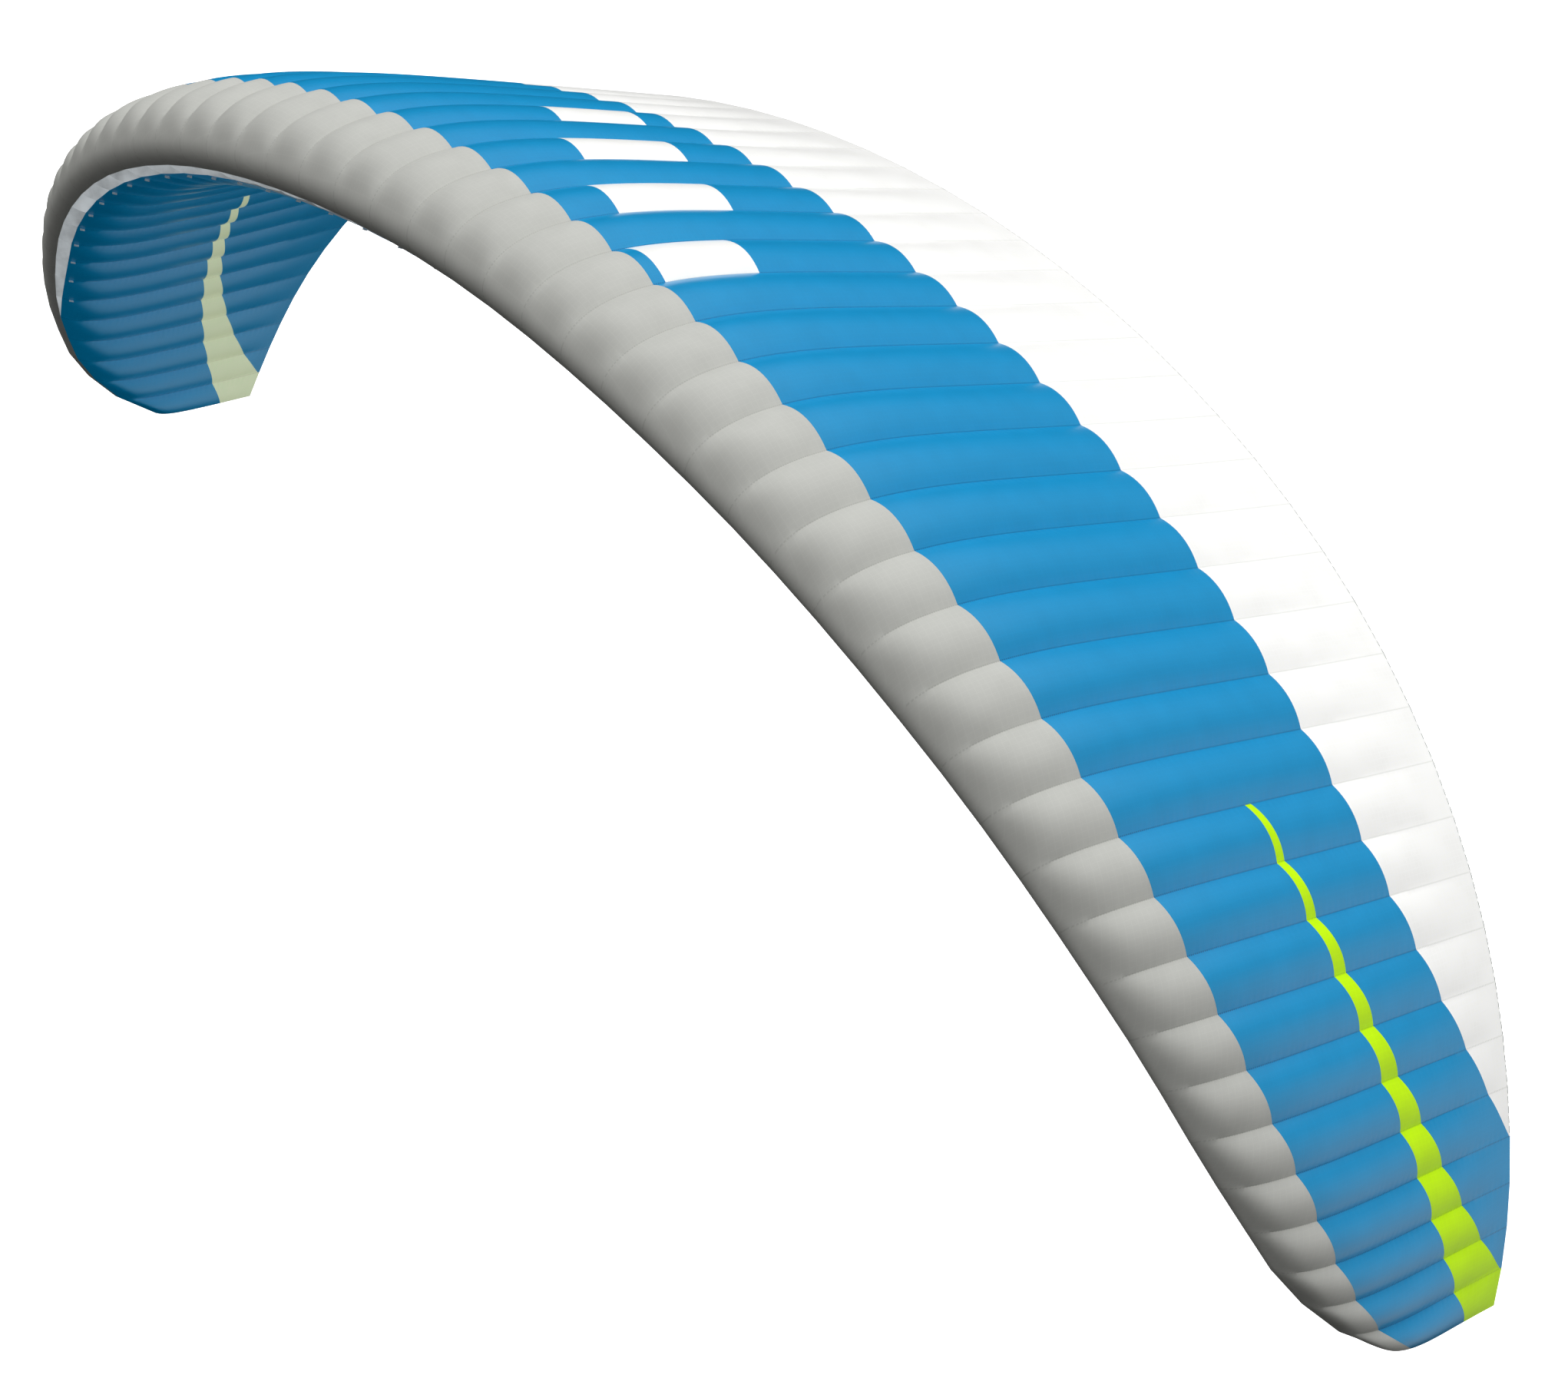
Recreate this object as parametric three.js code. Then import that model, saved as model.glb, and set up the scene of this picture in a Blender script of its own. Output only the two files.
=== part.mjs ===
// Ram-air paraglider wing of tandem size, in the shape that it takes in flight.
// Two cloth skins are held apart by ribs, and every cell between two ribs billows outwards.
// X runs along the span with the pilot's left tip at +X, the wing flies towards -Y, and Z points up.
// The origin lies on the underside, on the middle line of the wing, where the front row of lines is tied.
import * as THREE from "three";

// ---------------------------------------------------------------- driving dimensions, in millimetres

const FLAT_SPAN = 15000; // along the leading edge, from tip to tip
const CELLS = 51;
const TIP_CELL_PINCH = 0.18; // how much narrower the cells get towards the tips
const SKIN = 2; // thickness of a skin
const RIB = 1.2; // thickness of a rib
const GAP = 0.36; // between neighbouring skins
const RIB_CLEARANCE = 0.5; // between the edge of a rib and the inner face of a skin
const RIB_END = 0.985; // share of the chord at which a rib ends, where the two skins close on each other
const RIB_STEP = 0.024; // least length of a side of a rib's outline, as a share of its chord

// Slope of the arc, in degrees from the horizontal, at a share s of the half span:
// ARC[0] s + ARC[1] s^3 + ARC[2] s^5.
const ARC = [46.6, 39.8, -6.0];
const ARC_STEPS = 400;

// Plan of the wing: a row for each share of the half span.
// sweep is how far the leading edge lies behind that of the middle.
const PLAN = [
  { s: 0.0, chord: 3315, sweep: 0 },
  { s: 0.3, chord: 3230, sweep: 50 },
  { s: 0.55, chord: 2905, sweep: 300 },
  { s: 0.75, chord: 2360, sweep: 710 },
  { s: 0.87, chord: 1870, sweep: 1090 },
  { s: 0.94, chord: 1460, sweep: 1435 },
  { s: 0.975, chord: 1125, sweep: 1730 },
  { s: 1.0, chord: 765, sweep: 2055 },
];

// Profile, as shares of the chord: height = sqrt(t) (1 - t) times a cubic Bernstein sum of these weights.
const TOP_WEIGHTS = [0.32, 0.195, 0.133, 0.11];
const UNDERSIDE_WEIGHTS = [0.29, 0.13, 0.155, 0.1];

// Billow of a cell at its middle, as a share of the cell's width.
const TOP_BILLOW = 0.15;
const UNDERSIDE_BILLOW = 0.12;
const BILLOW_BEGINS = { top: 0.002, underside: 0.04 }; // shares of the chord: in front of them the nose is smooth
const BILLOW_FULL_BY = { top: 0.06, underside: 0.16 };
const BILLOW_FADE = 3.5; // power with which it dies out towards the trailing edge
const FACETS_PER_CELL = 3;

// Places along the chord, as shares of it. The cloth changes colour, and pieces end, at these.
const UPPER_LIP = 0.02; // underside, where the nose cloth ends and the air intake starts
const LOWER_LIP = 0.05; // underside, where the intake ends and the underside starts
const TABS = 0.062; // underside, front row of line tabs
const GREY_EDGE = 0.147; // top, from nose cloth to main cloth
const WHITE_EDGE = { middle: 0.668, atRib11: 0.706 }; // top, from main cloth to rear cloth

// Near the tips the edges of the cloth move: a row for each rib, counted inwards from the tip.
const TIP_RIBS = [
  { lip: 0.02, grey: 0.139, stripeFront: 0.668, stripeBack: 0.992, white: 0.996 },
  { lip: 0.02, grey: 0.139, stripeFront: 0.649, stripeBack: 0.986, white: 0.996 },
  { lip: 0.02, grey: 0.15, stripeFront: 0.626, stripeBack: 0.844, white: 0.996 },
  { lip: 0.02, grey: 0.156, stripeFront: 0.599, stripeBack: 0.755, white: 0.996 },
  { lip: 0.02, grey: 0.157, stripeFront: 0.573, stripeBack: 0.686, white: 0.996 },
  { lip: 0.02, grey: 0.157, stripeFront: 0.549, stripeBack: 0.635, white: 0.917 },
  { lip: 0.035, grey: 0.154, stripeFront: 0.529, stripeBack: 0.592, white: 0.855 },
  { lip: 0.045, grey: 0.15, stripeFront: 0.51, stripeBack: 0.558, white: 0.803 },
  { lip: 0.05, grey: 0.147, stripeFront: 0.492, stripeBack: 0.53, white: 0.765 },
  { lip: 0.05, grey: 0.147, stripeFront: 0.479, stripeBack: 0.508, white: 0.738 },
  { lip: 0.05, grey: 0.147, stripeFront: 0.469, stripeBack: 0.491, white: 0.719 },
  { lip: 0.05, grey: 0.147, stripeFront: 0.461, stripeBack: 0.477, white: 0.706 },
];
const STRIPE_CELLS = TIP_RIBS.length - 1; // the stripe runs over this many cells from each tip
const WHITE_STARTS = 4; // rib at which the rear cloth comes in at the trailing edge
const LIME_TIP_CELLS = 1; // cells whose cloth is all stripe behind its front edge

const CLOTH = {
  grey: { color: 0xc3c4c3, roughness: 0.55, metalness: 0 },
  blue: { color: 0x2e91c5, roughness: 0.5, metalness: 0 },
  white: { color: 0xf4f5f3, roughness: 0.55, metalness: 0 },
  lime: { color: 0xb5ee1f, roughness: 0.5, metalness: 0 },
  deepBlue: { color: 0x17699a, roughness: 0.55, metalness: 0 },
  paleGreen: { color: 0xb4bfa2, roughness: 0.6, metalness: 0 },
  ribCloth: { color: 0xdfe2e2, roughness: 0.7, metalness: 0 },
};

// ---------------------------------------------------------------- laws of the shape

// Value of one column of PLAN at s: cubic pieces, level at the middle of the wing.
function planColumn(column) {
  const x = PLAN.map((row) => row.s);
  const y = PLAN.map((row) => row[column]);
  const last = x.length - 1;
  const width = (i) => x[i + 1] - x[i];
  const rise = (i) => (y[i + 1] - y[i]) / width(i);
  const slope = x.map((_, i) => {
    if (i === 0 || i === last) return 0;
    return (rise(i - 1) * width(i) + rise(i) * width(i - 1)) / (width(i - 1) + width(i));
  });
  slope[last] = 2 * rise(last - 1) - slope[last - 1];
  return (s) => {
    let i = 0;
    while (i < last - 1 && s > x[i + 1]) i += 1;
    const t = (s - x[i]) / width(i);
    const fromStart = (2 * t ** 3 - 3 * t ** 2 + 1) * y[i] + (t ** 3 - 2 * t ** 2 + t) * width(i) * slope[i];
    const fromEnd = (3 * t ** 2 - 2 * t ** 3) * y[i + 1] + (t ** 3 - t ** 2) * width(i) * slope[i + 1];
    return fromStart + fromEnd;
  };
}
const chordAt = planColumn("chord");
const sweepAt = planColumn("sweep");

const arcAngle = (s) => THREE.MathUtils.degToRad(ARC[0] * s + ARC[1] * s ** 3 + ARC[2] * s ** 5);

// The leading edge along the arc, summed up in small steps from the middle to the tip.
const arcTable = [{ x: 0, z: 0 }];
for (let i = 0; i < ARC_STEPS; i += 1) {
  const angle = arcAngle((i + 0.5) / ARC_STEPS);
  const step = FLAT_SPAN / 2 / ARC_STEPS;
  const { x, z } = arcTable[i];
  arcTable.push({ x: x + step * Math.cos(angle), z: z - step * Math.sin(angle) });
}
function arcPoint(s) {
  const at = s * ARC_STEPS;
  const i = Math.min(Math.floor(at), ARC_STEPS - 1);
  const share = at - i;
  const from = arcTable[i];
  const to = arcTable[i + 1];
  return { x: from.x + share * (to.x - from.x), z: from.z + share * (to.z - from.z) };
}

// Height of the profile over its chord line. q is the square root of the place along the chord,
// counted negative on the underside, so that the curve is smooth round the nose.
function profileHeight(q) {
  const t = q * q;
  const w = q < 0 ? UNDERSIDE_WEIGHTS : TOP_WEIGHTS;
  const sum = w[0] * (1 - t) ** 3 + 3 * w[1] * t * (1 - t) ** 2 + 3 * w[2] * t * t * (1 - t) + w[3] * t ** 3;
  return q * (1 - t) * sum;
}
const alongChord = (q) => q * Math.abs(q); // place on the chord, negative on the underside
const rootOf = (place) => Math.sign(place) * Math.sqrt(Math.abs(place));

// Share of the half span of a rib, positive on the left. Rib 0 closes the left tip.
function ribShare(rib) {
  const u = 1 - (2 * rib) / CELLS;
  return u * (1 + TIP_CELL_PINCH * (1 - u * u));
}

// Plane of a rib: its nose point, the directions along its chord, up and along the span, and its chord.
function ribPlane(rib) {
  const share = ribShare(rib);
  const s = Math.abs(share);
  const side = Math.sign(share);
  const angle = arcAngle(s);
  const { x, z } = arcPoint(s);
  return {
    nose: new THREE.Vector3(side * x, sweepAt(s), z),
    back: new THREE.Vector3(0, 1, 0),
    up: new THREE.Vector3(side * Math.sin(angle), 0, Math.cos(angle)),
    span: new THREE.Vector3(Math.cos(angle), 0, -side * Math.sin(angle)),
    chord: chordAt(s),
  };
}
const ribPlanes = Array.from({ length: CELLS + 1 }, (_, rib) => ribPlane(rib));

// A point of the rib's outline in its own plane: x along the chord, y up.
// At the trailing edge the two skins lie face to face, GAP apart.
function outlinePoint(plane, q) {
  const edge = (SKIN + GAP / 2) * alongChord(q);
  return new THREE.Vector2(plane.chord * q * q, plane.chord * profileHeight(q) + edge);
}
function outlineNormal(plane, q) {
  const step = 0.002;
  const from = outlinePoint(plane, Math.max(q - step, -1));
  const to = outlinePoint(plane, Math.min(q + step, 1));
  return new THREE.Vector2(from.y - to.y, to.x - from.x).normalize();
}
function inSpace(plane, flat, isPoint) {
  const v = plane.back.clone().multiplyScalar(flat.x);
  v.addScaledVector(plane.up, flat.y);
  return isPoint ? v.add(plane.nose) : v;
}

function billow(place) {
  const t = Math.abs(place);
  const side = place < 0 ? "underside" : "top";
  const begins = Math.sqrt(BILLOW_BEGINS[side]);
  const rise = THREE.MathUtils.smoothstep(Math.sqrt(t), begins, Math.sqrt(BILLOW_FULL_BY[side]));
  return (place < 0 ? UNDERSIDE_BILLOW : TOP_BILLOW) * rise * (1 - t ** BILLOW_FADE);
}

// ---------------------------------------------------------------- rows of the skins at each rib

function ribRow(rib) {
  const fromTip = Math.min(rib, CELLS - rib);
  if (fromTip < TIP_RIBS.length) return TIP_RIBS[fromTip];
  const { stripeFront, stripeBack } = TIP_RIBS[STRIPE_CELLS];
  const inward = (fromTip - STRIPE_CELLS) / ((CELLS - 1) / 2 - STRIPE_CELLS);
  const white = THREE.MathUtils.lerp(WHITE_EDGE.atRib11, WHITE_EDGE.middle, Math.min(1, inward) ** 0.5);
  return { lip: LOWER_LIP, grey: GREY_EDGE, stripeFront, stripeBack, white };
}

// Places along the chord of the lines that run from tip to tip on a skin, negative on the underside.
// On both skins they are listed in the order that leads from the trailing edge along the underside,
// round the nose and back along the top.
function topRows(rib) {
  const { grey, stripeFront, stripeBack, white } = ribRow(rib);
  const nose = [-UPPER_LIP, -0.005, 0, 0.005, 0.02, 0.06];
  return [...nose, grey, (grey + stripeFront) / 2, stripeFront, stripeBack, white, (white + 1) / 2, 1];
}
const TOP = { rows: topRows, bands: 12, greyEnds: 6, stripe: 8, whiteStarts: 10 };

function undersideRows(rib) {
  const { lip, stripeFront, stripeBack } = ribRow(rib);
  return [1, (stripeBack + 1) / 2, stripeBack, stripeFront, 0.28, 0.12, lip].map((place) => -place);
}
const UNDERSIDE = { rows: undersideRows, bands: 6, stripe: 2 };

// ---------------------------------------------------------------- a skin as a net of points

// Outer and inner point of a skin where a column and a row of its net cross, moved by the given lengths
// along the chord and along the span.
function skinPoints(skin, column, row, chordwise, spanwise) {
  const cell = Math.min(Math.floor(column / FACETS_PER_CELL), CELLS - 1);
  const u = column / FACETS_PER_CELL - cell;
  const [from, to] = [cell, cell + 1].map((rib) => {
    const plane = ribPlanes[rib];
    const place = skin.rows(rib)[row];
    const q = rootOf(place);
    const normal = outlineNormal(plane, q);
    const onward = new THREE.Vector2(normal.y, -normal.x);
    const point = inSpace(plane, outlinePoint(plane, q).addScaledVector(onward, chordwise), true);
    return { point: point.addScaledVector(plane.span, -spanwise), normal: inSpace(plane, normal, false), place };
  });
  const width = from.point.distanceTo(to.point);
  const swell = 4 * u * (1 - u) * width * billow(THREE.MathUtils.lerp(from.place, to.place, u));
  const normal = from.normal.clone().lerp(to.normal, u).normalize();
  const outer = from.point.clone().lerp(to.point, u).addScaledVector(normal, swell);
  return [outer, outer.clone().addScaledVector(normal, -SKIN)];
}

// Closed solid of the patches of the net that belong to one piece of cloth. Its edges are drawn in by
// half the gap, so that it clears the piece next to it.
function clothSolid(skin, belongs) {
  const columns = CELLS * FACETS_PER_CELL;
  const has = (column, row) => {
    const onNet = column >= 0 && column < columns && row >= 0 && row < skin.bands;
    return onNet && belongs(Math.floor(column / FACETS_PER_CELL), row) ? 1 : 0;
  };
  const positions = [];
  const numbers = new Map();
  const corner = (column, row) => {
    const key = column * (skin.bands + 1) + row;
    if (!numbers.has(key)) {
      const before = has(column - 1, row - 1) + has(column, row - 1);
      const after = has(column - 1, row) + has(column, row);
      const leftward = has(column - 1, row - 1) + has(column - 1, row);
      const rightward = has(column, row - 1) + has(column, row);
      const chordwise = (Math.sign(after - before) * GAP) / 2;
      const spanwise = (Math.sign(rightward - leftward) * GAP) / 2;
      numbers.set(key, positions.length / 3);
      skinPoints(skin, column, row, chordwise, spanwise).forEach((point) => positions.push(...point));
    }
    return numbers.get(key);
  };
  const faces = [];
  const quad = (a, b, c, d) => faces.push(a, b, c, a, c, d);
  for (let column = 0; column < columns; column += 1) {
    for (let row = 0; row < skin.bands; row += 1) {
      if (!has(column, row)) continue;
      const [a, b] = [corner(column, row), corner(column, row + 1)];
      const [c, d] = [corner(column + 1, row + 1), corner(column + 1, row)];
      quad(a, b, c, d);
      quad(a + 1, d + 1, c + 1, b + 1);
      if (!has(column - 1, row)) quad(b, a, a + 1, b + 1);
      if (!has(column, row + 1)) quad(c, b, b + 1, c + 1);
      if (!has(column + 1, row)) quad(d, c, c + 1, d + 1);
      if (!has(column, row - 1)) quad(a, d, d + 1, a + 1);
    }
  }
  const geometry = new THREE.BufferGeometry();
  geometry.setAttribute("position", new THREE.Float32BufferAttribute(positions, 3));
  geometry.setIndex(faces);
  return geometry;
}

// ---------------------------------------------------------------- the pieces

const wing = new THREE.Group();
// The origin of the part is the middle of the front row of tabs.
const middle = ribPlane(CELLS / 2);
const hangPoint = inSpace(middle, outlinePoint(middle, rootOf(-TABS)), true);
wing.position.copy(hangPoint).negate();

function addPiece(name, geometry, cloth) {
  const piece = new THREE.Mesh(geometry, new THREE.MeshStandardMaterial(cloth));
  piece.name = name;
  wing.add(piece);
  return piece;
}

const fromTip = (cell) => Math.min(cell, CELLS - 1 - cell);
const onTheLeft = (cell) => cell < CELLS / 2;

const inNose = (cell, row) => row < TOP.greyEnds;
const inTopRear = (cell, row) => row >= TOP.whiteStarts && fromTip(cell) >= WHITE_STARTS;
const inTopStripe = (cell, row) =>
  row === TOP.stripe ? fromTip(cell) < STRIPE_CELLS : row > TOP.stripe && fromTip(cell) < LIME_TIP_CELLS;
const inTopMain = (cell, row) => !inNose(cell, row) && !inTopRear(cell, row) && !inTopStripe(cell, row);
const inUndersideStripe = (cell, row) =>
  row === UNDERSIDE.stripe
    ? fromTip(cell) < STRIPE_CELLS
    : row < UNDERSIDE.stripe && fromTip(cell) < LIME_TIP_CELLS;
const inUndersideMain = (cell, row) => !inUndersideStripe(cell, row);

addPiece("top_nose", clothSolid(TOP, inNose), CLOTH.grey);
addPiece("top_main", clothSolid(TOP, inTopMain), CLOTH.blue);
addPiece("top_rear", clothSolid(TOP, inTopRear), CLOTH.white);
addPiece("underside_main", clothSolid(UNDERSIDE, inUndersideMain), CLOTH.deepBlue);
for (const [side, isLeft] of [["left", true], ["right", false]]) {
  const onThisSide = (test) => (cell, row) => test(cell, row) && onTheLeft(cell) === isLeft;
  addPiece(`top_stripe_${side}`, clothSolid(TOP, onThisSide(inTopStripe)), CLOTH.lime);
  addPiece(`underside_stripe_${side}`, clothSolid(UNDERSIDE, onThisSide(inUndersideStripe)), CLOTH.paleGreen);
}

// How steeply the skin leans against a rib: its move along its own normal for each step along the span.
function skinLean(rib, skin, row) {
  const pointOn = (at) => inSpace(ribPlanes[at], outlinePoint(ribPlanes[at], rootOf(skin.rows(at)[row])), true);
  const normal = inSpace(ribPlanes[rib], outlineNormal(ribPlanes[rib], rootOf(skin.rows(rib)[row])), false);
  const neighbours = [rib - 1, rib + 1].filter((at) => at >= 0 && at <= CELLS);
  const leans = neighbours.map((at) => {
    const across = pointOn(at).sub(pointOn(rib));
    return Math.abs(across.dot(normal) / across.dot(ribPlanes[rib].span));
  });
  return Math.max(...leans);
}

// One edge of a rib: the line of a skin's rows, drawn inwards, cut off at RIB_END.
function ribEdge(rib, skin) {
  const plane = ribPlanes[rib];
  const points = skin.rows(rib).map((place, row) => {
    const q = rootOf(place);
    const inset = SKIN + RIB_CLEARANCE + (skinLean(rib, skin, row) * RIB) / 2;
    return outlinePoint(plane, q).addScaledVector(outlineNormal(plane, q), -inset);
  });
  const end = RIB_END * plane.chord;
  const kept = [];
  points.forEach((point, i) => {
    const last = points[i - 1];
    if (last && last.x > end !== point.x > end) {
      kept.push(last.clone().lerp(point, (end - last.x) / (point.x - last.x)));
    }
    if (point.x < end - 1) kept.push(point);
  });
  return kept;
}

// A rib is a flat sheet in the outline of the cell wall. Of two corners that lie close together,
// it has only the first.
function addRib(rib) {
  const plane = ribPlanes[rib];
  const outline = [];
  for (const point of [...ribEdge(rib, UNDERSIDE), ...ribEdge(rib, TOP)]) {
    const last = outline.at(-1);
    if (!last || last.distanceTo(point) > RIB_STEP * plane.chord) outline.push(point);
  }
  const shape = new THREE.Shape(outline);
  const sheet = new THREE.ExtrudeGeometry(shape, { depth: RIB, bevelEnabled: false });
  sheet.translate(0, 0, -RIB / 2);
  const piece = addPiece(`rib_${String(rib).padStart(2, "0")}`, sheet, CLOTH.ribCloth);
  piece.position.copy(plane.nose);
  piece.quaternion.setFromRotationMatrix(new THREE.Matrix4().makeBasis(plane.back, plane.up, plane.span));
}
for (let rib = 0; rib <= CELLS; rib += 1) addRib(rib);

export default wing;
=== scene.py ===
# %% [markdown]
# # A tandem paraglider wing in flight
# The wing is a bag of thin cloth that air blows up into a wing. Two skins are sewn to 52 upright walls,
# the ribs, and each cell between two ribs swells like a long cushion. The solids of the wing come in as
# a fixed frame. Each cloth piece below is built over its solids, in metres, at the same place.

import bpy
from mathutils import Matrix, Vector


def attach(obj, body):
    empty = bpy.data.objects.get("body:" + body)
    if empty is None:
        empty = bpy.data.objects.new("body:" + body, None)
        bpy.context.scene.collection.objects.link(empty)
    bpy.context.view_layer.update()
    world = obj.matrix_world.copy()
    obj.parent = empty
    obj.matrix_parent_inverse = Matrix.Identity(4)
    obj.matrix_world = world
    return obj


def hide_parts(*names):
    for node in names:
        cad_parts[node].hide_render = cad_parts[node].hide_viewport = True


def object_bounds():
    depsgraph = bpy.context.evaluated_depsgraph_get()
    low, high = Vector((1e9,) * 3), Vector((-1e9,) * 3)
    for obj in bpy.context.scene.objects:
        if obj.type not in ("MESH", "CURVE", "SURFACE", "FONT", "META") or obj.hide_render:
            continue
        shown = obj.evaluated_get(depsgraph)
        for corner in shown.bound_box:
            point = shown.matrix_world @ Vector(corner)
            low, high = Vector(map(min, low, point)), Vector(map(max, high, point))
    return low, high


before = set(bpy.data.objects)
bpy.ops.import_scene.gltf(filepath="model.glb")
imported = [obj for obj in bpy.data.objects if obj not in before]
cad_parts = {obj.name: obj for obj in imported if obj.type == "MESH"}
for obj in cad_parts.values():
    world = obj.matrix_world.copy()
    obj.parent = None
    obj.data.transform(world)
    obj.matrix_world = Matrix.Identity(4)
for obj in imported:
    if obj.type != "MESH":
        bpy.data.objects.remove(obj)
cad_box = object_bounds()
print("solids:", len(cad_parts), "box:", [tuple(round(x, 3) for x in corner) for corner in cad_box])

# %% [markdown]
# ## Tools
# Cloth over a wing is a net of many thousand points. It could be pulled into shape by hand, but a rule
# for each point is shorter and exact, and NumPy works out all the points at once. Loading the frame
# leaves its solids selected, and an operator acts on all that is selected, so that is cleared first.

# %% Tools
import math

import bmesh
import bpy
import numpy as np
from mathutils import Matrix, Vector

bpy.ops.object.select_all(action="DESELECT")
print("selected:", len(bpy.context.selected_objects))

# %% [markdown]
# ## The shape that the air gives the cloth
# Seen from the front the wing is an arch, and seen from above its leading edge sweeps back towards the
# tips. Every rib stands at a right angle to the arch. A designer draws such a wing with a few smooth
# laws, and so does this script. Their sizes are those of the solids, so each seam lands on its solid to
# within a millimetre.

# %% Sizes of the wing, in metres
FLAT_SPAN = 15.0
CELLS = 51
TIP_CELL_PINCH = 0.18  # how much narrower the cells get towards the tips
ARC_DEGREES = (46.6, 39.8, -6.0)  # slope of the arch: a s + b s^3 + c s^5 at a share s of the half span
ARC_STEPS = 400  # short straight steps that add up to half of the arch
SHARE = (0.0, 0.30, 0.55, 0.75, 0.87, 0.94, 0.975, 1.0)  # of the half span, for the two rows below
CHORD = (3.315, 3.230, 2.905, 2.360, 1.870, 1.460, 1.125, 0.765)
SWEEP = (0.0, 0.050, 0.300, 0.710, 1.090, 1.435, 1.730, 2.055)
TOP_WEIGHTS = (0.32, 0.195, 0.133, 0.11)  # Bernstein weights of the profile over its chord line
UNDERSIDE_WEIGHTS = (0.29, 0.13, 0.155, 0.10)  # and under it
TABS = 0.062  # place of the line tabs on the underside, as a share of the chord
CLOTH = 0.0012  # thickness of a skin here; the real cloth is a tenth of this, too thin to model
HALF_EDGE = 1.2 * CLOTH  # half the height of the trailing edge, which leaves room for both skins
RIB_INSET = 0.0024  # from the outside of the skins to a rib's edge

print("cell at the middle:", round(FLAT_SPAN / CELLS * (1 + TIP_CELL_PINCH), 3), "m wide")


# %% Laws of the plan and the profile
def plan_curve(values):
    """A smooth curve through one row of the plan, level at the middle of the wing."""
    x, y = np.array(SHARE), np.array(values)
    width, slope = np.diff(x), np.zeros(len(x))
    rise = np.diff(y) / width
    slope[1:-1] = (rise[:-1] * width[1:] + rise[1:] * width[:-1]) / (width[1:] + width[:-1])
    slope[-1] = 2 * rise[-1] - slope[-2]

    def at(s):
        i = np.clip(np.searchsorted(x, s, side="right") - 1, 0, len(width) - 1)
        t = (s - x[i]) / width[i]
        start = (2 * t**3 - 3 * t**2 + 1) * y[i] + (t**3 - 2 * t**2 + t) * width[i] * slope[i]
        return start + (3 * t**2 - 2 * t**3) * y[i + 1] + (t**3 - t**2) * width[i] * slope[i + 1]

    return at


def arc_angle(s):
    a, b, c = ARC_DEGREES
    return np.radians(a * s + b * s**3 + c * s**5)


def profile_height(q):
    """Height over the chord line, in chords. q is the root of the place on the chord, negative below."""
    t = q * q
    w = np.where(np.less(q, 0)[..., None], UNDERSIDE_WEIGHTS, TOP_WEIGHTS)
    cubic = w[..., 0] * (1 - t) ** 3 + 3 * w[..., 1] * t * (1 - t) ** 2
    cubic = cubic + 3 * w[..., 2] * t**2 * (1 - t) + w[..., 3] * t**3
    return q * (1 - t) * cubic


def root_of(place):
    return np.sign(place) * np.sqrt(np.abs(place))


# %% The planes of the ribs
class Ribs:
    """The planes of the ribs with these numbers: each has a nose point, directions, and a chord."""

    def __init__(self, numbers):
        u = 1 - 2 * np.asarray(numbers, float) / CELLS
        share = u * (1 + TIP_CELL_PINCH * (1 - u * u))
        s, side = np.abs(share), np.sign(share)
        steps = (np.arange(ARC_STEPS) + 0.5) / ARC_STEPS
        reach = np.linspace(0, 1, ARC_STEPS + 1)
        along = np.concatenate([[0], np.cumsum(np.cos(arc_angle(steps)))]) * FLAT_SPAN / (2 * ARC_STEPS)
        down = np.concatenate([[0], np.cumsum(np.sin(arc_angle(steps)))]) * FLAT_SPAN / (2 * ARC_STEPS)
        angle = arc_angle(s)
        zero = np.zeros_like(s)
        sideways, back = side * np.interp(s, reach, along), plan_curve(SWEEP)(s)
        self.nose = np.stack([sideways, back, -np.interp(s, reach, down)], -1)
        self.up = np.stack([side * np.sin(angle), zero, np.cos(angle)], -1)
        self.span = np.stack([np.cos(angle), zero, -side * np.sin(angle)], -1)
        self.chord = plan_curve(CHORD)(s)

    def outline(self, q):
        """Points of the ribs' outlines: q has one row of places for each rib."""
        height = self.chord[:, None] * profile_height(q) + HALF_EDGE * q * np.abs(q)
        back = np.zeros(q.shape + (3,))
        back[..., 1] = self.chord[:, None] * q * q
        return self.nose[:, None] + back + height[..., None] * self.up[:, None]

    def normal(self, q, step=0.002):
        """Outward directions of the outlines, in the ribs' own planes."""
        tangent = self.outline(np.minimum(q + step, 1)) - self.outline(np.maximum(q - step, -1))
        across = np.cross(self.span[:, None], tangent)
        return across / np.linalg.norm(across, axis=-1, keepdims=True)


# The frame's origin is level with the front row of line tabs, so all that is built moves by this much.
HANG_POINT = Ribs([CELLS / 2]).outline(np.array([[-math.sqrt(TABS)]]))[0, 0]

ribs = Ribs(range(CELLS + 1))
ribs.nose = ribs.nose - HANG_POINT
print("span:", round(2 * ribs.nose[0, 0], 2), "m; tips below the tabs:", round(-ribs.nose[0, 2], 2), "m")

# %% [markdown]
# ## Camera, floor and light
# The camera comes before anything else, because every later choice is judged through it. It looks down
# on the wing from ahead of its left tip with a long lens, so the arch isn't stretched.

# %% Camera
CAMERA_PLACE = Vector((15.2573, -10.8201, 7.0723)) - Vector(HANG_POINT)
CAMERA_DEGREES = (63.167, -7.813, 52.041)
LENS_MM, SENSOR_MM = 90.04, 36.0
FARTHEST_VIEW = 1000

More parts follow.
